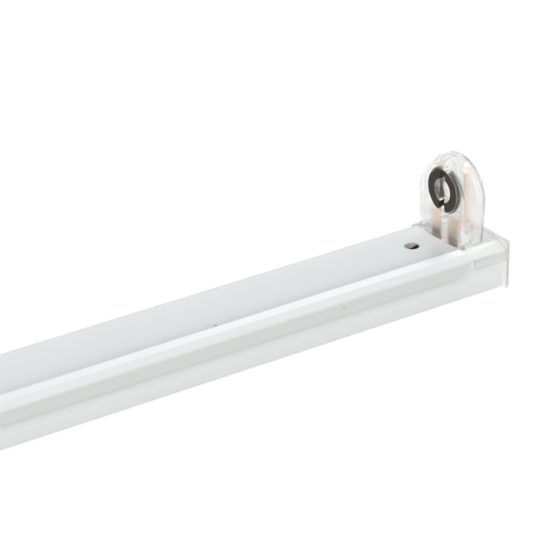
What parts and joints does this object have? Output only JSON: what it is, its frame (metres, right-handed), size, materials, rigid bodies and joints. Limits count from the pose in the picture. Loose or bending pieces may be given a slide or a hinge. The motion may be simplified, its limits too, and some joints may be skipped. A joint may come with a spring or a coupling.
{
  "type": "led tube batten fitting",
  "caption": "Slim folded steel batten with a clear rotary lampholder at each end that holds one straight tube lamp.",
  "frame": {"origin": "middle of the base tray's flat underside", "axes": "+X along the batten, +Z from the base up to the tube, -Y towards the near side"},
  "size_m": [0.628, 0.04, 0.0525],
  "materials": {
    "painted_steel": "satin white powder coat",
    "clear_plastic": "clear moulded plastic",
    "rotor_plastic": "matte black moulding",
    "contact_bronze": "bright spring bronze",
    "block_plastic": "natural white moulding",
    "clamp_brass": "turned brass",
    "screw_steel": "zinc plated",
    "grommet_rubber": "matte black rubber",
    "wire_brown": "smooth insulation",
    "wire_blue": "smooth insulation",
    "wire_green": "smooth insulation"
  },
  "bodies": {
    "fixture": {"cover": "painted_steel", "base_tray": "painted_steel", "end_cap_right": "clear_plastic", "end_cap_left": "clear_plastic", "holder_back_right": "clear_plastic", "holder_back_left": "clear_plastic", "contact_near_right": "contact_bronze", "contact_far_right": "contact_bronze", "contact_near_left": "contact_bronze", "contact_far_left": "contact_bronze", "terminal_block": "block_plastic", "terminal_clamps": "clamp_brass", "terminal_screws": "screw_steel", "block_screw": "screw_steel", "earth_tag": "clamp_brass", "earth_washer": "screw_steel", "earth_screw": "screw_steel", "cable_grommet": "grommet_rubber", "wire_live": "wire_brown", "wire_neutral": "wire_blue", "wire_earth": "wire_green"},
    "rotor_right": {"rotor_right": "rotor_plastic"},
    "rotor_left": {"rotor_left": "rotor_plastic"}
  },
  "joints": [
    {"name": "lock_right", "type": "hinge", "parent": "fixture", "child": "rotor_right", "pos_m": [0.2955, 0, 0.0389], "axis": [1, 0, 0], "range_deg": [-90, 90]},
    {"name": "lock_left", "type": "hinge", "parent": "fixture", "child": "rotor_left", "pos_m": [-0.2955, 0, 0.0389], "axis": [1, 0, 0], "range_deg": [-90, 90]}
  ]
}
